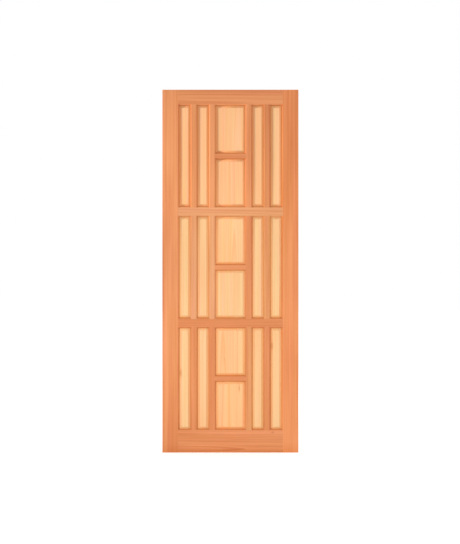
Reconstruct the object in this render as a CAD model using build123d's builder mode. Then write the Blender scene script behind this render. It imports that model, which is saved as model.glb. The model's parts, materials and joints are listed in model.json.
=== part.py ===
# Exterior door leaf of solid timber: a framed leaf with eighteen raised and fielded panels.
# Two stiles run the full height. Four rails are tenoned between them, and muntins and short
# centre bars divide the three rows. Every panel edge of the framing has the same moulding, a
# quirked ovolo with a panel groove behind it. Each timber that ends on another is scribed over
# that moulding, and its stub tenon fills the groove.
# Millimetres. +X runs from the hinge edge to the lock edge, -Y is the face that is looked at,
# +Z is up. The origin is at the foot of the hinge edge, at mid thickness.

import math
import os

from build123d import *

# The leaf
leaf_width = 762.0
leaf_height = 2032.0
leaf_thickness = 44.0
arris_radius = 1.5  # easing of the long outer edges

# Widths of the framing timbers, over their mouldings
stile_width = 93.0
top_rail_width = 88.0
cross_rail_width = 57.0
bottom_rail_width = 130.0
muntin_width = 39.0
centre_bar_width = 34.0

# Columns of panels from the hinge edge across, and how much wider than a tall one the centre is
column_kinds = ("tall", "tall", "centre", "tall", "tall")
centre_column_ratio = 2.6

# Moulding along every panel edge of the framing
quirk_depth = 3.0
ovolo_radius = 6.0

# Panel groove behind the moulding
groove_width = 12.0
groove_depth = 10.0

# Blind tenons of the rails
tenon_length = 60.0  # from the stile's moulded edge
tenon_setback = 22.0  # from the top or bottom of the leaf
mortise_gap = 2.0  # room for glue at the end of a tenon

# Raised and fielded panels, alike on both faces
panel_thickness = 30.0
bevel_width = 13.0
shoulder_height = 2.0
tongue_clearance = 0.2  # each side, in the groove's width
panel_side_gap = 2.0  # room for the panel to swell across its grain
panel_top_gap = 2.0

# Rows and rails, from the top of the leaf down
row_names = ("top", "middle", "bottom")
rail_widths = {
    "top_rail": top_rail_width,
    "upper_rail": cross_rail_width,
    "lower_rail": cross_rail_width,
    "bottom_rail": bottom_rail_width,
}

# Sides of a timber that carry the moulding: +1 above or to the right, -1 below or to the left
both_sides = (-1, 1)
rail_mouldings = {
    "top_rail": (-1,),
    "upper_rail": both_sides,
    "lower_rail": both_sides,
    "bottom_rail": (1,),
}

# Clear sizes of the openings between the framing timbers
row_height = (leaf_height - sum(rail_widths.values())) / len(row_names)
muntins_in_row = len(column_kinds) - 1
tall_width = (leaf_width - 2 * stile_width - muntins_in_row * muntin_width) / (
    column_kinds.count("tall") + centre_column_ratio
)
centre_width = centre_column_ratio * tall_width
clear_widths = {"tall": tall_width, "centre": centre_width}
centre_panel_height = (row_height - centre_bar_width) / 2

# Left and right edges of the columns
columns = []
column_left = stile_width
for kind in column_kinds:
    columns.append((column_left, column_left + clear_widths[kind]))
    column_left += clear_widths[kind] + muntin_width
centre_column = column_kinds.index("centre")
centre_left, centre_right = columns[centre_column]

# Low and high edges of the rails, and of the rows between them
rail_edges = {}
rail_high = leaf_height
for rail_name, rail_width in rail_widths.items():
    rail_edges[rail_name] = (rail_high - rail_width, rail_high)
    rail_high -= rail_width + row_height
row_edges = {}
for row_name, rail_above in zip(row_names, rail_edges):
    row_high = rail_edges[rail_above][0]
    row_edges[row_name] = (row_high - row_height, row_high)

# How far a timber's blank runs past the moulded edge that it is scribed to
scribe_reach = max(groove_depth, ovolo_radius)

# Levels of a panel, from mid thickness out to its field
tongue_level = groove_width / 2 - tongue_clearance
shoulder_level = panel_thickness / 2 - shoulder_height
bevel_rise = shoulder_level - tongue_level
bevel_angle = math.degrees(math.atan2(bevel_width, bevel_rise))


def moulded_section(plane, width, moulded_sides):
    """Section of a framing timber, with the ovolo and the panel groove on its moulded sides."""
    half_width = width / 2
    half_thickness = leaf_thickness / 2
    ovolo_level = half_thickness - quirk_depth - ovolo_radius
    corners = [(s * half_width, f * half_thickness) for s in moulded_sides for f in both_sides]
    ovolos = [
        (s * (half_width - ovolo_radius), f * ovolo_level) for s in moulded_sides for f in both_sides
    ]
    grooves = [(s * half_width, 0) for s in moulded_sides]
    with BuildSketch(plane) as section:
        Rectangle(width, leaf_thickness)
        with Locations(corners):
            Rectangle(2 * ovolo_radius, 2 * (quirk_depth + ovolo_radius), mode=Mode.SUBTRACT)
        with Locations(ovolos):
            Circle(ovolo_radius)
        with Locations(grooves):
            Rectangle(2 * groove_depth, groove_width, mode=Mode.SUBTRACT)
    return section.sketch


def tenon_span(rail):
    """Low and high edges of a rail's tenon: at its panel grooves, or short of the leaf's end."""
    low, high = rail_edges[rail]
    below = groove_depth if -1 in rail_mouldings[rail] else tenon_setback
    above = groove_depth if 1 in rail_mouldings[rail] else tenon_setback
    return low + below, high - above


def upright_plane(x, z):
    """Plane of an upright timber's section, with its length along +Z."""
    return Plane(origin=(x, 0, z))


def level_plane(x, z):
    """Plane of a level timber's section, with its length along +X and its width along Z."""
    return Plane(origin=(x, 0, z), x_dir=(0, 0, 1), z_dir=(1, 0, 0))


def stile(middle, moulded_side):
    """Full-height stile with a mortise for each rail's tenon."""
    section = moulded_section(upright_plane(middle, 0), stile_width, (moulded_side,))
    moulded_edge = middle + moulded_side * stile_width / 2
    mortise_length = tenon_length + mortise_gap
    with BuildPart() as timber:
        extrude(section, amount=leaf_height)
        outer_corners = timber.edges().filter_by(Axis.Z).sort_by(Axis.X, reverse=moulded_side < 0)[:2]
        fillet(outer_corners, radius=arris_radius)
        for rail in rail_edges:
            low, high = tenon_span(rail)
            with Locations((moulded_edge - moulded_side * mortise_length / 2, 0, (low + high) / 2)):
                Box(mortise_length, groove_width, high - low, mode=Mode.SUBTRACT)
    return timber


def rail(name, stiles):
    """Rail scribed to both stiles, with a blind tenon at each end."""
    low, high = rail_edges[name]
    start = stile_width - scribe_reach
    section = moulded_section(level_plane(start, (low + high) / 2), high - low, rail_mouldings[name])
    tenon_low, tenon_high = tenon_span(name)
    shoulders = leaf_width - 2 * stile_width
    with BuildPart() as timber:
        extrude(section, amount=shoulders + 2 * scribe_reach)
        for neighbour in stiles:
            add(neighbour.part, mode=Mode.SUBTRACT)
        with Locations((leaf_width / 2, 0, (tenon_low + tenon_high) / 2)):
            Box(shoulders + 2 * tenon_length, groove_width, tenon_high - tenon_low)
    return timber


def muntin(left, row, rails):
    """Upright bar between two rails, scribed to both."""
    low, high = row_edges[row]
    section = moulded_section(
        upright_plane(left + muntin_width / 2, low - scribe_reach), muntin_width, both_sides
    )
    with BuildPart() as timber:
        extrude(section, amount=high - low + 2 * scribe_reach)
        for neighbour in rails:
            add(neighbour.part, mode=Mode.SUBTRACT)
    return timber


def centre_bar(row, muntins):
    """Short level bar between the stacked centre panels, scribed to the muntins beside it."""
    low, high = row_edges[row]
    section = moulded_section(
        level_plane(centre_left - scribe_reach, (low + high) / 2), centre_bar_width, both_sides
    )
    with BuildPart() as timber:
        extrude(section, amount=centre_width + 2 * scribe_reach)
        for neighbour in muntins:
            add(neighbour.part, mode=Mode.SUBTRACT)
    return timber


def raised_panel(left, right, low, high):
    """Panel for a clear opening: its tongue stands on the groove below and floats at the sides."""
    middle = ((left + right) / 2, (low + high) / 2)
    clear_width = right - left
    clear_height = high - low
    tongue_width = clear_width + 2 * (groove_depth - panel_side_gap)
    tongue_low = low - groove_depth
    tongue_high = high + groove_depth - panel_top_gap
    with BuildPart() as panel:
        with BuildSketch(Plane.XZ):
            with Locations((middle[0], (tongue_low + tongue_high) / 2)):
                Rectangle(tongue_width, tongue_high - tongue_low)
        extrude(amount=tongue_level)
        with BuildSketch(Plane.XZ.offset(tongue_level)):
            with Locations(middle):
                Rectangle(clear_width, clear_height)
        extrude(amount=bevel_rise, taper=bevel_angle)
        with BuildSketch(Plane.XZ.offset(shoulder_level)):
            with Locations(middle):
                Rectangle(clear_width - 2 * bevel_width, clear_height - 2 * bevel_width)
        extrude(amount=shoulder_height)
        mirror(about=Plane.XZ)
    return panel


def save(piece, name):
    """Label a finished piece and write its file."""
    piece.part.label = name
    export_step(piece.part, f"parts/{name}.step")


os.makedirs("parts", exist_ok=True)

hinge_stile = stile(stile_width / 2, 1)
save(hinge_stile, "hinge_stile")
lock_stile = stile(leaf_width - stile_width / 2, -1)
save(lock_stile, "lock_stile")

rails = {}
for rail_name in rail_edges:
    rails[rail_name] = rail(rail_name, (hinge_stile, lock_stile))
    save(rails[rail_name], rail_name)

rails_down = list(rails.values())
for row_name, rail_above, rail_below in zip(row_names, rails_down, rails_down[1:]):
    row_low, row_high = row_edges[row_name]

    muntins = [muntin(right, row_name, (rail_above, rail_below)) for left, right in columns[:-1]]
    for number, bar in enumerate(muntins, start=1):
        save(bar, f"{row_name}_muntin_{number}")

    beside_centre = (muntins[centre_column - 1], muntins[centre_column])
    save(centre_bar(row_name, beside_centre), f"{row_name}_centre_bar")

    tall_edges = columns[:centre_column] + columns[centre_column + 1 :]
    for number, (left, right) in enumerate(tall_edges, start=1):
        save(raised_panel(left, right, row_low, row_high), f"{row_name}_tall_panel_{number}")

    upper_panel = raised_panel(centre_left, centre_right, row_high - centre_panel_height, row_high)
    save(upper_panel, f"{row_name}_centre_panel_upper")
    lower_panel = raised_panel(centre_left, centre_right, row_low, row_low + centre_panel_height)
    save(lower_panel, f"{row_name}_centre_panel_lower")
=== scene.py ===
# Looks of a timber exterior door leaf: orange framing timbers round pale raised panels, sanded
# and sealed with a thin satin finish. Metres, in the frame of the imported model: +X from the hinge
# edge to the lock edge, -Y the face that is looked at, +Z up.

import json
import math
import random

import bmesh
import bpy
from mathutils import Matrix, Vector


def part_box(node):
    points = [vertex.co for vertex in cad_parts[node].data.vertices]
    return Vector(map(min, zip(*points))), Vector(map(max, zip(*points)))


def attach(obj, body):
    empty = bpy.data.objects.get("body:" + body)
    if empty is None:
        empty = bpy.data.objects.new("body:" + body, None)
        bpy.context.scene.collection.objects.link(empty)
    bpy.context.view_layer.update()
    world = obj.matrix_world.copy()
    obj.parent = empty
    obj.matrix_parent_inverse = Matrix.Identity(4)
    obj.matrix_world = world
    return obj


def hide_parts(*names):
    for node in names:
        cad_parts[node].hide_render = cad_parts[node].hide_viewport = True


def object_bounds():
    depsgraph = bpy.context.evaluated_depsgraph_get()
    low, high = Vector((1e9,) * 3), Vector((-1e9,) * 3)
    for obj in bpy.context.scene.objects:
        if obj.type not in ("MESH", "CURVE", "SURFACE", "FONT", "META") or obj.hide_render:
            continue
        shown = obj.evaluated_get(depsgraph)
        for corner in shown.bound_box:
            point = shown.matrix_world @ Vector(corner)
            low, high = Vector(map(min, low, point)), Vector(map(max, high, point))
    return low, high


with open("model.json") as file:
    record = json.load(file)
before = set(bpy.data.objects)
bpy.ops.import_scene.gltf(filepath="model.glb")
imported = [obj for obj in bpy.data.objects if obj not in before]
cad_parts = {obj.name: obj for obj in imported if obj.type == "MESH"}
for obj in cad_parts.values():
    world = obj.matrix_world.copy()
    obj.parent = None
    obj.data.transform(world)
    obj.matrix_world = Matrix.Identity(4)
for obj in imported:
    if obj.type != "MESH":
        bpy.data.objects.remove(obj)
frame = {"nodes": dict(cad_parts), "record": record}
cad_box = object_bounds()

MM = 0.001
leaf_low, leaf_high = cad_box
leaf_middle = (leaf_low + leaf_high) / 2
framing_face = leaf_high.y
slot_of_node = {part["node"]: part["material_slot"] for part in frame["record"]["subparts"]}
panel_names = [name for name, slot in slot_of_node.items() if slot == "panel_timber"]
framing_names = [name for name, slot in slot_of_node.items() if slot == "framing_timber"]
panel_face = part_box(panel_names[0])[1].y
SHOULDER_HEIGHT = 2 * MM  # from a panel's bevel up to its field

# Sanding
ARRIS_EASE = 0.6 * MM
ARRIS_STEPS = 3
SHORTEST_ARRIS = 15 * MM
ARRIS_ANGLE = math.radians(60)
SHARP_ANGLE = math.radians(35)
FLAT_ANGLE = math.radians(0.3)
MERGE_DISTANCE = 0.01 * MM
LEAF_EDGE = 2 * MM

# Cosines that sort edges and faces by their direction
ALONG_GRAIN = 0.99
ACROSS_GRAIN = 0.7
FRONT_OR_BACK = 0.95

# Painted shade in the recesses, darker with depth: none at the first depth below the face, most at the
# second
FRAMING_SHADE_DEPTHS = (1.5 * MM, 11 * MM)
PANEL_SHADE_DEPTHS = (1.5 * MM, 8 * MM)
LEDGE_TILT = 0.45  # a face that tilts this much gets as much painted shade as a level ledge

# Painted shade at the head of an opening, beside that at its foot
FRAMING_HEAD_SHARE = 0.75
PANEL_HEAD_SHARE = 0.1

# The photograph's frame, and the view at the leaf's face
PHOTO_WIDTH = 460
PHOTO_HEIGHT = 544
PHOTO_SCALE = 5.60 * MM  # metres a pixel
PHOTO_LEAF_MIDDLE = (230.4, 271.12)
LENS = 100
SENSOR = 36


# Node trees


def new_material(name):
    """Material and its node tree, with no node in it yet."""
    material = bpy.data.materials.new(name)
    material.use_nodes = True
    material.node_tree.nodes.clear()
    return material, material.node_tree


def add_node(tree, kind, inputs=None, **settings):
    """New node with its settings, and a value or a link for each input that is named."""
    made = tree.nodes.new(kind)
    for name, value in settings.items():
        setattr(made, name, value)
    for socket, value in (inputs or {}).items():
        if isinstance(value, bpy.types.NodeSocket):
            tree.links.new(value, made.inputs[socket])
        else:
            made.inputs[socket].default_value = value
    return made


def calc(tree, operation, *values):
    """Result of a sum on values or links."""
    return add_node(tree, "ShaderNodeMath", dict(enumerate(values)), operation=operation).outputs[0]


def vector_calc(tree, operation, *values):
    """Outputs of a sum on vectors."""
    return add_node(tree, "ShaderNodeVectorMath", dict(enumerate(values)), operation=operation).outputs


def ramped(tree, value, start, end, most=1.0):
    """Share that goes from 0, where a value is at the start, to the most at the end."""
    return add_node(
        tree, "ShaderNodeMapRange", {"Value": value, "From Min": start, "From Max": end, "To Max": most}
    ).outputs[0]


def marked(tree, name):
    """Share that a piece's own attribute holds."""
    return add_node(tree, "ShaderNodeAttribute", attribute_name=name).outputs["Fac"]


def mixed(tree, factor, first, second, blend_type="MIX"):
    """Colour between two colours."""
    return add_node(
        tree,
        "ShaderNodeMix",
        {0: factor, 6: first, 7: second},
        data_type="RGBA",
        blend_type=blend_type,
    ).outputs[2]


def cloud(tree, place, board, rate, detail):
    """Noise stretched along the grain, which differs from board to board."""
    stretched = vector_calc(tree, "MULTIPLY", place, rate)[0]
    return add_node(
        tree,
        "ShaderNodeTexNoise",
        {"Vector": stretched, "W": board, "Scale": 1.0, "Detail": detail},
        noise_dimensions="4D",
    ).outputs


# Wood

PINK_STREAK = (1.0, 0.955, 0.99, 1)
YELLOW_STREAK = (0.975, 1.0, 0.90, 1)
KNOT_BROWN = (0.54, 0.22, 0.06, 1)
FOOT_DARKENING = (0.93, 0.84, 0.70, 1)
# Tint that darkens the lowest few centimetres of the leaf
END_GRAIN_TINT = (0.80, 0.68, 0.55, 1)
SANDED_ARRIS = (1.0, 0.8, 0.55, 1)
# Painted shade in the crease at the foot of a panel's shoulder
SHOULDER_SHADE = (1.0, 0.82, 0.66, 1)

# Noises: their rate across a board, through it and along its grain, in a metre, and their detail
WANDER_NOISE = ((3.0, 3.0, 1.1), 1.0)
STREAK_NOISE = ((75.0, 75.0, 1.6), 3.0)
FIBRE_NOISE = ((420.0, 420.0, 9.0), 2.0)
CLOUD_NOISE = ((9.0, 9.0, 1.3), 2.0)
PORE_NOISE = ((800.0, 800.0, 34.0), 1.0)
HUE_NOISE = ((48.0, 48.0, 1.0), 1.0)
NOISE_MEAN = 0.5

# Patterns that are as strong on every board
WANDER_REACH = (0.016, 0.016, 0.0)
FIBRE_STRENGTH = 0.35
HUE_SPAN = (0.3, 0.7)
PORE_SPAN = (0.6, 0.78)
PORE_SHADE = 0.22
ARRIS_SHADE = 0.12
FOOT_DARKENING_RISE = 60 * MM
FOOT_DARKENING_LEAST = 0.4
SHOULDER_LINE = 1.4 * MM  # depth over which shade is painted at a shoulder's foot

# Growth rings: good and poor years, and the shade from a year's pale start to its dark end
YEAR_CHANGE = 0.45
YEAR_SPREAD = 1.6
RING_PALE = 0.1
RING_SHADES = ((0.5, 0.35), (0.84, 1.0), (0.93, 0.9))
RING_MEAN = 0.45
RING_CONTRAST_LEAST = 0.55
RING_CONTRAST_SPREAD = 0.7
MIDDLE_SHADE = 0.5  # half way from early to late wood

# Shades round a knot: where each starts and is full, in half sizes of the knot, and its most
KNOT_HALO = (2.4, 0.8, 0.5)
KNOT_HEART = (1.5, 0.2, 0.5)
KNOT_BEND_FALL = 0.5

# Satin finish, and the relief under it
FINISH_ROUGHNESS = 0.40
STREAK_ROUGHNESS = 0.16
PORE_ROUGHNESS = 0.15
FINISH_SPECULAR = 0.35
FIBRE_RELIEF = 0.5
RING_RELIEF = 0.25
RELIEF_STRENGTH = 0.3
RELIEF_DEPTH = 0.4 * MM


def make_timber_grain():
    """Node group for sanded wood. Place is in the board's own axes, with Z along the grain."""
    tree = bpy.data.node_groups.new("timber_grain", "ShaderNodeTree")
    for name, kind in (
        ("Place", "Vector"),
        ("Board", "Float"),
        ("Pith across", "Float"),
        ("Pith deep", "Float"),
        ("Lean", "Float"),
        ("Ring spacing", "Float"),
        ("Ring strength", "Float"),
        ("Streak strength", "Float"),
        ("Cloud strength", "Float"),
        ("Fade", "Float"),
        ("Knot", "Vector"),
        ("Knot size", "Vector"),
        ("Early wood", "Color"),
        ("Late wood", "Color"),
        # Tints of painted shade in the recesses, which also darkens the pores, and on ledges
        ("Pore and depth shade tint", "Color"),
        ("Ledge shade tint", "Color"),
        ("Shoulder", "Float"),
        ("Rise", "Float"),
    ):
        tree.interface.new_socket(name=name, in_out="INPUT", socket_type="NodeSocket" + kind)
    for name, kind in (("Color", "Color"), ("Roughness", "Float"), ("Height", "Float")):
        tree.interface.new_socket(name=name, in_out="OUTPUT", socket_type="NodeSocket" + kind)
    given = tree.nodes.new("NodeGroupInput").outputs
    place = given["Place"]
    board = given["Board"]
    board_axes = add_node(tree, "ShaderNodeSeparateXYZ", {0: place}).outputs

    # Slow wander of the grain along the board
    wander = cloud(tree, place, board, *WANDER_NOISE)["Color"]
    centred = vector_calc(tree, "SUBTRACT", wander, (NOISE_MEAN,) * 3)[0]
    shift = vector_calc(tree, "MULTIPLY", centred, WANDER_REACH)[0]
    swayed = vector_calc(tree, "ADD", place, shift)[0]

    # How near a point is to the knot: 1 at its rim
    from_knot = vector_calc(tree, "SUBTRACT", place, given["Knot"])[0]
    knot_ratio = vector_calc(tree, "DIVIDE", from_knot, given["Knot size"])[0]
    knot_reach = vector_calc(tree, "LENGTH", knot_ratio)["Value"]
    knot_axes = add_node(tree, "ShaderNodeSeparateXYZ", {0: given["Knot size"]}).outputs
    fall = calc(tree, "MULTIPLY", knot_reach, KNOT_BEND_FALL)
    bulge = calc(tree, "DIVIDE", knot_axes["X"], calc(tree, "MULTIPLY_ADD", knot_reach, fall, 1.0))

    # Growth rings round a pith that leans to the board, bent round the knot
    axes = add_node(tree, "ShaderNodeSeparateXYZ", {0: swayed}).outputs
    across = calc(tree, "ADD", axes["X"], given["Pith across"])
    pith_deep = calc(tree, "MULTIPLY_ADD", axes["Z"], given["Lean"], given["Pith deep"])
    deep = calc(tree, "ADD", axes["Y"], pith_deep)
    square = calc(tree, "MULTIPLY_ADD", across, across, calc(tree, "MULTIPLY", deep, deep))
    radius = calc(tree, "ADD", calc(tree, "SQRT", square), bulge)
    even_years = calc(tree, "DIVIDE", radius, given["Ring spacing"])
    good_years = add_node(
        tree,
        "ShaderNodeTexNoise",
        {"W": calc(tree, "MULTIPLY_ADD", even_years, YEAR_CHANGE, board), "Scale": 1.0, "Detail": 1.0},
        noise_dimensions="1D",
    ).outputs["Fac"]
    years = calc(tree, "MULTIPLY_ADD", good_years, YEAR_SPREAD, even_years)
    ring = add_node(tree, "ShaderNodeValToRGB", {0: calc(tree, "FRACT", years)})
    ramp = ring.color_ramp
    ramp.interpolation = "EASE"
    for end in ramp.elements:
        end.color = (RING_PALE, RING_PALE, RING_PALE, 1)
    for position, level in RING_SHADES:
        ramp.elements.new(position).color = (level, level, level, 1)
    contrast = add_node(
        tree, "ShaderNodeTexWhiteNoise", {"W": calc(tree, "FLOOR", years)}, noise_dimensions="1D"
    ).outputs["Value"]
    contrast = calc(tree, "MULTIPLY_ADD", contrast, RING_CONTRAST_SPREAD, RING_CONTRAST_LEAST)
    late = calc(tree, "MULTIPLY", ring.outputs["Color"], contrast)

    # Rings, streaks, fibres and broad clouds of tone, with dark pores
    streak = cloud(tree, swayed, board, *STREAK_NOISE)["Fac"]
    fibre = cloud(tree, swayed, board, *FIBRE_NOISE)["Fac"]
    broad = cloud(tree, place, board, *CLOUD_NOISE)["Fac"]
    pore = ramped(tree, cloud(tree, swayed, board, *PORE_NOISE)["Fac"], *PORE_SPAN)
    shade = calc(tree, "MULTIPLY_ADD", board_axes["Z"], given["Fade"], MIDDLE_SHADE)
    for pattern, mean, strength in (
        (late, RING_MEAN, given["Ring strength"]),
        (streak, NOISE_MEAN, given["Streak strength"]),
        (broad, NOISE_MEAN, given["Cloud strength"]),
        (fibre, NOISE_MEAN, FIBRE_STRENGTH),
    ):
        shade = calc(tree, "MULTIPLY_ADD", calc(tree, "SUBTRACT", pattern, mean), strength, shade)
    shade = add_node(tree, "ShaderNodeClamp", {0: shade}).outputs[0]
    wood = mixed(tree, shade, given["Early wood"], given["Late wood"])
    wood = mixed(tree, calc(tree, "MULTIPLY", pore, PORE_SHADE), wood, given["Pore and depth shade tint"], "MULTIPLY")

    # Pink and yellow streaks
    hue = cloud(tree, swayed, board, *HUE_NOISE)["Color"]
    hue = add_node(tree, "ShaderNodeSeparateXYZ", {0: hue}).outputs["Y"]
    streak_tint = mixed(tree, ramped(tree, hue, *HUE_SPAN), PINK_STREAK, YELLOW_STREAK)
    wood = mixed(tree, 1.0, wood, streak_tint, "MULTIPLY")

    # The knot, with a halo of late wood
    wood = mixed(tree, ramped(tree, knot_reach, *KNOT_HALO), wood, given["Late wood"])
    wood = mixed(tree, ramped(tree, knot_reach, *KNOT_HEART), wood, KNOT_BROWN)

    # Darker towards the foot of the leaf, in patches
    foot_darkening = ramped(tree, given["Rise"], FOOT_DARKENING_RISE, 0.0)
    foot_darkening = calc(tree, "MULTIPLY", foot_darkening, calc(tree, "ADD", broad, FOOT_DARKENING_LEAST))
    wood = mixed(tree, foot_darkening, wood, FOOT_DARKENING, "MULTIPLY")

    # Painted shade, darker with depth, in the mouldings and recesses, on ledges and at a panel's shoulder
    wood = mixed(tree, marked(tree, "recess"), wood, given["Pore and depth shade tint"], "MULTIPLY")
    wood = mixed(tree, marked(tree, "ledge_shade"), wood, given["Ledge shade tint"], "MULTIPLY")
    off_shoulder = calc(tree, "SUBTRACT", calc(tree, "ABSOLUTE", board_axes["Y"]), given["Shoulder"])
    shoulder_shade = ramped(tree, calc(tree, "ABSOLUTE", off_shoulder), SHOULDER_LINE, 0.0)
    wood = mixed(tree, shoulder_shade, wood, SHOULDER_SHADE, "MULTIPLY")

    # End grain is darker, and sanding leaves the arrises paler
    wood = mixed(tree, marked(tree, "end_grain"), wood, END_GRAIN_TINT, "MULTIPLY")
    wood = mixed(tree, calc(tree, "MULTIPLY", marked(tree, "arris"), ARRIS_SHADE), wood, SANDED_ARRIS)

    rough = calc(tree, "MULTIPLY_ADD", streak, STREAK_ROUGHNESS, FINISH_ROUGHNESS)
    rough = calc(tree, "MULTIPLY_ADD", pore, PORE_ROUGHNESS, rough)
    height = calc(tree, "MULTIPLY_ADD", fibre, FIBRE_RELIEF, calc(tree, "MULTIPLY", late, RING_RELIEF))
    height = calc(tree, "SUBTRACT", height, pore)
    add_node(tree, "NodeGroupOutput", {"Color": wood, "Roughness": rough, "Height": height})
    return tree


timber_grain = make_timber_grain()

# Colours of the two timbers, from the paler early wood to the darker late wood
NO_SHOULDER = 1.0  # deeper than any timber
TIMBERS = {
    "framing_timber": {
        "Early wood": (0.860, 0.350, 0.149),
        "Late wood": (0.655, 0.206, 0.069),
        # The recess tint is painted shade in the mouldings and also darkens the pores; the ledge tint is
        # painted shade on ledges
        "Pore and depth shade tint": (1.00, 0.95, 0.62),
        "Ledge shade tint": (0.78, 0.60, 0.43),
        "Ring spacing": 5 * MM,
        "Ring strength": 0.45,
        "Streak strength": 1.45,
        "Cloud strength": 1.5,
        "Shoulder": NO_SHOULDER,
    },
    "panel_timber": {
        "Early wood": (0.95, 0.650, 0.355),
        "Late wood": (0.92, 0.480, 0.208),
        # The recess tint is painted shade on the bevels and also darkens the pores; the ledge tint is
        # painted shade on the bevels at the foot
        "Pore and depth shade tint": (1.00, 0.90, 0.68),
        "Ledge shade tint": (0.88, 0.66, 0.50),
        "Ring spacing": 7 * MM,
        "Ring strength": 0.45,
        "Streak strength": 0.9,
        "Cloud strength": 0.9,
        "Shoulder": panel_face - SHOULDER_HEIGHT,
    },
}

# Tone of each board that isn't of the middle one
MIDDLE_TONE = (1.0, 1.0, 1.0)
TONES = {
    "straw": (1.02, 1.20, 1.38),
    "honey": (0.99, 1.11, 1.06),
    "rose": (1.06, 1.085, 1.11),
    "amber": (1.07, 1.035, 0.97),
    "brown": (0.95, 0.91, 0.86),
    "russet": (0.885, 0.835, 0.77),
    "peach": (1.04, 0.95, 0.91),
    "apricot": (1.04, 0.90, 0.86),
}
BOARD_TONES = {
    "straw": ("upper_rail", "middle_muntin_1", "middle_muntin_2"),
    "honey": ("middle_muntin_4", "bottom_muntin_3"),
    "rose": ("hinge_stile",),
    "amber": ("lock_stile",),
    "brown": ("lower_rail", "middle_muntin_3", "bottom_muntin_1", "bottom_muntin_2", "bottom_muntin_4"),
    "russet": ("top_muntin_4",),
    "peach": (
        "top_tall_panel_1",
        "top_tall_panel_2",
        "top_tall_panel_3",
        "top_tall_panel_4",
        "middle_centre_panel_upper",
        "bottom_centre_panel_upper",
        "bottom_centre_panel_lower",
    ),
    "apricot": ("top_centre_panel_upper", "top_centre_panel_lower"),
}
tone_of_node = {name: TONES[tone] for tone, names in BOARD_TONES.items() for name in names}

# Change of shade along a board, a metre
BOARD_FADES = {"hinge_stile": -0.18, "lock_stile": 0.20}

# Rings on level timbers, beside those on upright ones
LEVEL_FIGURE = 1.1
BOARD_FIGURES = {"bottom_rail": 1.65}

# How each board came out of the log: how far its middle is from the pith, and its lean to it
FLAT_SAWN_PITH = (0.02, 0.05)
QUARTER_SAWN_PITH = (0.10, 0.20)
PITH_DEEP = (0.05, 0.10)
LEVEL_LEAN = (0.003, 0.008)
UPRIGHT_LEAN = 0.01
BOARD_STEP = 7.3  # in the noise, from one board to the next

# Knots: where the photograph shows them, in its pixels, and their half width and half length
KNOTS = {
    "bottom_tall_panel_4": ((271.8, 345.8), 7 * MM, 20 * MM),
    "bottom_tall_panel_1": ((180.7, 373.2), 5 * MM, 19 * MM),
    "bottom_centre_panel_upper": ((224.5, 359.0), 2 * MM, 14 * MM),
    "bottom_centre_panel_lower": ((239.2, 388.2), 4 * MM, 17 * MM),
    "bottom_rail": ((272.6, 432.4), 3.5 * MM, 6 * MM),
}
KNOT_DEPTH = 1.0  # half of it: right through any board
NO_KNOT = ((0, 0, 9), (MM, MM, MM))  # a tiny one, far off the board


def knot_of(name, middle, level):
    """A board's knot in its own axes: its middle and its half sizes."""
    if name not in KNOTS:
        return NO_KNOT
    (pixel_right, pixel_down), across, along = KNOTS[name]
    right = leaf_middle.x + (pixel_right - PHOTO_LEAF_MIDDLE[0]) * PHOTO_SCALE - middle.x
    up = leaf_middle.z - (pixel_down - PHOTO_LEAF_MIDDLE[1]) * PHOTO_SCALE - middle.z
    place = (-up, 0, right) if level else (right, 0, up)
    return place, (across, KNOT_DEPTH, along)


def length_axis(name):
    """Direction of a board's length and grain."""
    low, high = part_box(name)
    size = high - low
    return Vector((1, 0, 0)) if size.x > size.z else Vector((0, 0, 1))


def timber_finish(name, board):
    """Material of one timber or panel, cut from a board of its own."""
    low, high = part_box(name)
    middle = (low + high) / 2
    level = length_axis(name).x > 0
    flat_sawn = level or "centre_panel" in name
    draw = random.Random(board)
    material, tree = new_material(name + "_finish")

    coordinates = add_node(tree, "ShaderNodeTexCoord").outputs["Object"]
    rise = add_node(tree, "ShaderNodeSeparateXYZ", {0: coordinates}).outputs["Z"]
    centred = add_node(tree, "ShaderNodeMapping", {"Vector": coordinates, "Location": -middle})
    turn = math.radians(-90) if level else 0.0
    turned = add_node(tree, "ShaderNodeMapping", {"Vector": centred.outputs[0], "Rotation": (0, turn, 0)})

    timber = dict(TIMBERS[slot_of_node[name]])
    tone = tone_of_node.get(name, MIDDLE_TONE)
    for colour in ("Early wood", "Late wood"):
        timber[colour] = [min(1.0, share * part) for share, part in zip(tone, timber[colour])] + [1]
    for colour in ("Pore and depth shade tint", "Ledge shade tint"):
        timber[colour] = (*timber[colour], 1)
    if level:
        timber["Ring strength"] *= BOARD_FIGURES.get(name, LEVEL_FIGURE)
    knot, knot_size = knot_of(name, middle, level)
    pith_reach = draw.uniform(*(FLAT_SAWN_PITH if flat_sawn else QUARTER_SAWN_PITH))
    cut = {
        "Board": BOARD_STEP * board,
        "Fade": BOARD_FADES.get(name, 0.0),
        "Knot": knot,
        "Knot size": knot_size,
        "Pith across": pith_reach * draw.choice((-1, 1)),
        "Pith deep": draw.uniform(*PITH_DEEP),
        "Lean": draw.uniform(*LEVEL_LEAN) if level else UPRIGHT_LEAN,
    }
    grain = add_node(
        tree,
        "ShaderNodeGroup",
        {"Place": turned.outputs[0], "Rise": rise, **timber, **cut},
        node_tree=timber_grain,
    ).outputs

    relief = add_node(
        tree,
        "ShaderNodeBump",
        {"Strength": RELIEF_STRENGTH, "Distance": RELIEF_DEPTH, "Height": grain["Height"]},
    )
    shader = add_node(
        tree,
        "ShaderNodeBsdfPrincipled",
        {
            "Base Color": grain["Color"],
            "Roughness": grain["Roughness"],
            "Specular IOR Level": FINISH_SPECULAR,
            "Normal": relief.outputs[0],
        },
    )
    add_node(tree, "ShaderNodeOutputMaterial", {"Surface": shader.outputs[0]})
    return material


# Worked timbers


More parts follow.
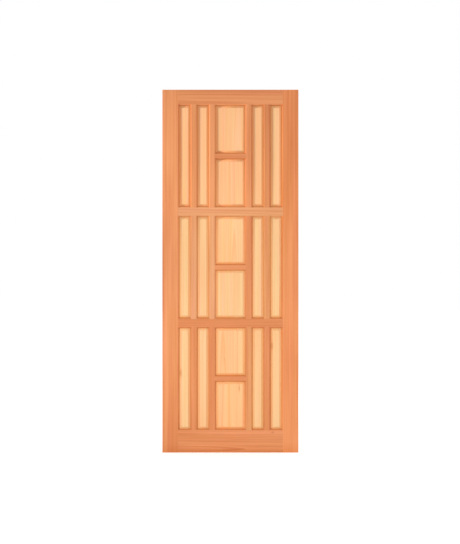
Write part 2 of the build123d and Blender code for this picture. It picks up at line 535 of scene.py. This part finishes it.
def depth_share(y, face, recess):
    """How deep a point lies below the face on its own side: 0 at the face, 1 in the recess."""
    start, end = recess
    return min(1.0, max(0.0, (face - abs(y) - start) / (end - start)))


def ledge_shade_share(normal, foot_side, head_share):
    """How much painted shade a face gets by its tilt: most at the foot of an opening."""
    tilt = min(1.0, abs(normal.z) / LEDGE_TILT)
    return tilt if normal.z * foot_side > 0 else head_share * tilt


def at_leaf_edge(place):
    """Whether a place is at the leaf's own edge: a side, the top or the foot."""
    gaps = (place.x - leaf_low.x, leaf_high.x - place.x, place.z - leaf_low.z, leaf_high.z - place.z)
    return min(gaps) < LEAF_EDGE


def on_outline(work_face):
    """Whether a face belongs to the leaf's own edge, and not to its front or back."""
    return abs(work_face.normal.y) < FRONT_OR_BACK and at_leaf_edge(work_face.calc_center_median())


def is_arris(edge, along):
    """Whether sanding eases an edge: long, square and outward, and not in a joint between timbers."""
    if not edge.is_manifold or not edge.is_convex or edge.calc_length() < SHORTEST_ARRIS:
        return False
    first, second = (corner.co for corner in edge.verts)
    lengthwise = along is None or abs((second - first).normalized() @ along) > ALONG_GRAIN
    in_joint = not lengthwise and not at_leaf_edge((first + second) / 2)
    return edge.calc_face_angle() > ARRIS_ANGLE and not in_joint


def worked_timber(name, board):
    """Sanded copy of a CAD node: its long arrises are eased, and its recesses and ledges are marked for
    painted shade.
    """
    slot = slot_of_node[name]
    if slot == "panel_timber":
        face, recess, along = panel_face, PANEL_SHADE_DEPTHS, None
        foot_side, head_share = -1, PANEL_HEAD_SHARE
    else:
        face, recess, along = framing_face, FRAMING_SHADE_DEPTHS, length_axis(name)
        foot_side, head_share = 1, FRAMING_HEAD_SHARE
    work = bmesh.new()
    work.from_mesh(frame["nodes"][name].data)
    bmesh.ops.remove_doubles(work, verts=work.verts, dist=MERGE_DISTANCE)
    bmesh.ops.dissolve_limit(work, angle_limit=FLAT_ANGLE, verts=work.verts, edges=work.edges)
    eased = bmesh.ops.bevel(
        work,
        geom=[edge for edge in work.edges if is_arris(edge, along)],
        offset=ARRIS_EASE,
        offset_type="OFFSET",
        affect="EDGES",
        segments=ARRIS_STEPS,
        profile=0.5,
        material=-1,
        clamp_overlap=True,
    )
    # Marks for painted shade in the recesses and on ledges, for the paler sanded arrises and for the
    # darker end grain
    recess_layer = work.loops.layers.float.new("recess")
    ledge_layer = work.loops.layers.float.new("ledge_shade")
    arris_layer = work.loops.layers.float.new("arris")
    end_layer = work.loops.layers.float.new("end_grain")
    rounded = set(eased["faces"])
    work.normal_update()
    for work_face in work.faces:
        work_face.smooth = True
        outer = on_outline(work_face)
        cut_across = outer and along is not None and abs(work_face.normal @ along) > ACROSS_GRAIN
        for corner in work_face.loops:
            depth = 0.0 if outer else depth_share(corner.vert.co.y, face, recess)
            corner[recess_layer] = depth
            corner[ledge_layer] = depth * ledge_shade_share(work_face.normal, foot_side, head_share)
            corner[arris_layer] = 1.0 if work_face in rounded else 0.0
            corner[end_layer] = 1.0 if cut_across else 0.0
    mesh = bpy.data.meshes.new(name + "_timber")
    work.to_mesh(mesh)
    work.free()
    mesh.set_sharp_from_angle(angle=SHARP_ANGLE)
    mesh.materials.append(timber_finish(name, board))
    piece = bpy.data.objects.new(name + "_timber", mesh)
    bpy.context.scene.collection.objects.link(piece)
    even = piece.modifiers.new("even_shading", "WEIGHTED_NORMAL")
    even.keep_sharp = True
    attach(piece, "root")
    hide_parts(name)


for board, name in enumerate(framing_names + panel_names, start=1):
    worked_timber(name, board)


# Floor, light and camera

FLOOR_HALF = 30.0
FLOOR_PAINT = (0.8, 0.8, 0.8, 1)
FLOOR_GLOW = 0.5
BACKGROUND = (1.0, 1.0, 1.0, 1)
AMBIENT = 0.74

# Broad lamps, with their azimuth and elevation in degrees
LAMP_DISTANCE = 6.0
LAMP_SIZE = 2.4
FILL_ANGLES = (50, 5)
FILL_POWER = 40.0
BACK_ANGLES = (140, 12)
BACK_POWER = 120.0

# Narrow beams: the key light on the two lower rows, and the raking light on the top row
BEAM_RADIUS = 0.2
KEY_PLACE = Vector((-2.0, -3.8, 0.5))
KEY_AIM = Vector((leaf_middle.x, 0, 0.58))
KEY_POWER = 290.0
KEY_SPREAD = math.radians(28)
RAKING_PLACE = Vector((-4.0, -1.2, 1.4))
RAKING_AIM = Vector((leaf_middle.x, 0, 1.72))
RAKING_POWER = 770.0
RAKING_SPREAD = math.radians(17)


def seen_directly(tree):
    """1 for rays that show the background: from the camera, a reflection or through glass."""
    path = add_node(tree, "ShaderNodeLightPath").outputs
    mirrored = calc(tree, "MAXIMUM", path["Is Glossy Ray"], path["Is Transmission Ray"])
    return calc(tree, "MAXIMUM", path["Is Camera Ray"], mirrored)


def make_floor():
    """Plain white floor that keeps the leaf's shadow."""
    work = bmesh.new()
    bmesh.ops.create_grid(work, x_segments=1, y_segments=1, size=FLOOR_HALF)
    bmesh.ops.translate(work, verts=work.verts, vec=(leaf_middle.x, 0, leaf_low.z))
    mesh = bpy.data.meshes.new("floor")
    work.to_mesh(mesh)
    work.free()
    material, tree = new_material("white_floor")
    paint = add_node(tree, "ShaderNodeBsdfDiffuse", {"Color": FLOOR_PAINT})
    glow = add_node(tree, "ShaderNodeEmission", {"Color": BACKGROUND, "Strength": FLOOR_GLOW})
    bright = add_node(tree, "ShaderNodeAddShader", {0: paint.outputs[0], 1: glow.outputs[0]})
    chosen = add_node(
        tree, "ShaderNodeMixShader", {0: seen_directly(tree), 1: paint.outputs[0], 2: bright.outputs[0]}
    )
    add_node(tree, "ShaderNodeOutputMaterial", {"Surface": chosen.outputs[0]})
    mesh.materials.append(material)
    floor = bpy.data.objects.new("floor", mesh)
    bpy.context.scene.collection.objects.link(floor)


def make_world():
    """Even soft light, and white where the background is seen."""
    world = bpy.data.worlds.new("studio")
    world.use_nodes = True
    tree = world.node_tree
    tree.nodes.clear()
    soft = add_node(tree, "ShaderNodeBackground", {"Color": BACKGROUND, "Strength": AMBIENT})
    white = add_node(tree, "ShaderNodeBackground", {"Color": BACKGROUND, "Strength": 1.0})
    chosen = add_node(
        tree, "ShaderNodeMixShader", {0: seen_directly(tree), 1: soft.outputs[0], 2: white.outputs[0]}
    )
    add_node(tree, "ShaderNodeOutputWorld", {"Surface": chosen.outputs[0]})
    bpy.context.scene.world = world


def towards(azimuth, elevation):
    """Direction away from the leaf. Azimuth 0 is in front, and positive to the right."""
    turn = math.radians(azimuth)
    rise = math.radians(elevation)
    return Vector((math.sin(turn) * math.cos(rise), -math.cos(turn) * math.cos(rise), math.sin(rise)))


def hang(name, lamp, place, aim):
    """Holder of a lamp at its place, aimed at a point."""
    holder = bpy.data.objects.new(name, lamp)
    holder.location = place
    holder.rotation_mode = "QUATERNION"
    holder.rotation_quaternion = (aim - place).to_track_quat("-Z", "Y")
    bpy.context.scene.collection.objects.link(holder)
    return holder


def soft_lamp(name, angles, power):
    """Broad soft lamp aimed at the leaf's middle."""
    lamp = bpy.data.lights.new(name, "AREA")
    lamp.shape = "DISK"
    lamp.size = LAMP_SIZE
    lamp.energy = power
    hang(name, lamp, leaf_middle + towards(*angles) * LAMP_DISTANCE, leaf_middle)


def soft_beam(name, place, aim, spread, power):
    """Soft lamp with a narrow beam that fades outwards and leaves no glare on the finish."""
    lamp = bpy.data.lights.new(name, "SPOT")
    lamp.spot_size = spread
    lamp.spot_blend = 1.0
    lamp.shadow_soft_size = BEAM_RADIUS
    lamp.energy = power
    hang(name, lamp, place, aim).visible_glossy = False


def make_camera():
    """Camera square to the leaf, which stands where the photograph has it."""
    right = (PHOTO_WIDTH / 2 - PHOTO_LEAF_MIDDLE[0]) * PHOTO_SCALE
    down = (PHOTO_HEIGHT / 2 - PHOTO_LEAF_MIDDLE[1]) * PHOTO_SCALE
    distance = PHOTO_HEIGHT * PHOTO_SCALE * LENS / SENSOR
    camera = bpy.data.cameras.new("camera")
    camera.lens = LENS
    camera.sensor_width = SENSOR
    holder = bpy.data.objects.new("camera", camera)
    holder.location = (leaf_middle.x + right, leaf_low.y - distance, leaf_middle.z - down)
    holder.rotation_euler = (math.radians(90), 0, 0)
    bpy.context.scene.collection.objects.link(holder)
    bpy.context.scene.camera = holder


make_floor()
make_world()
soft_beam("key_light", KEY_PLACE, KEY_AIM, KEY_SPREAD, KEY_POWER)
soft_beam("raking_light", RAKING_PLACE, RAKING_AIM, RAKING_SPREAD, RAKING_POWER)
soft_lamp("fill_light", FILL_ANGLES, FILL_POWER)
soft_lamp("back_light", BACK_ANGLES, BACK_POWER)
make_camera()
bpy.context.scene.view_settings.view_transform = "Standard"
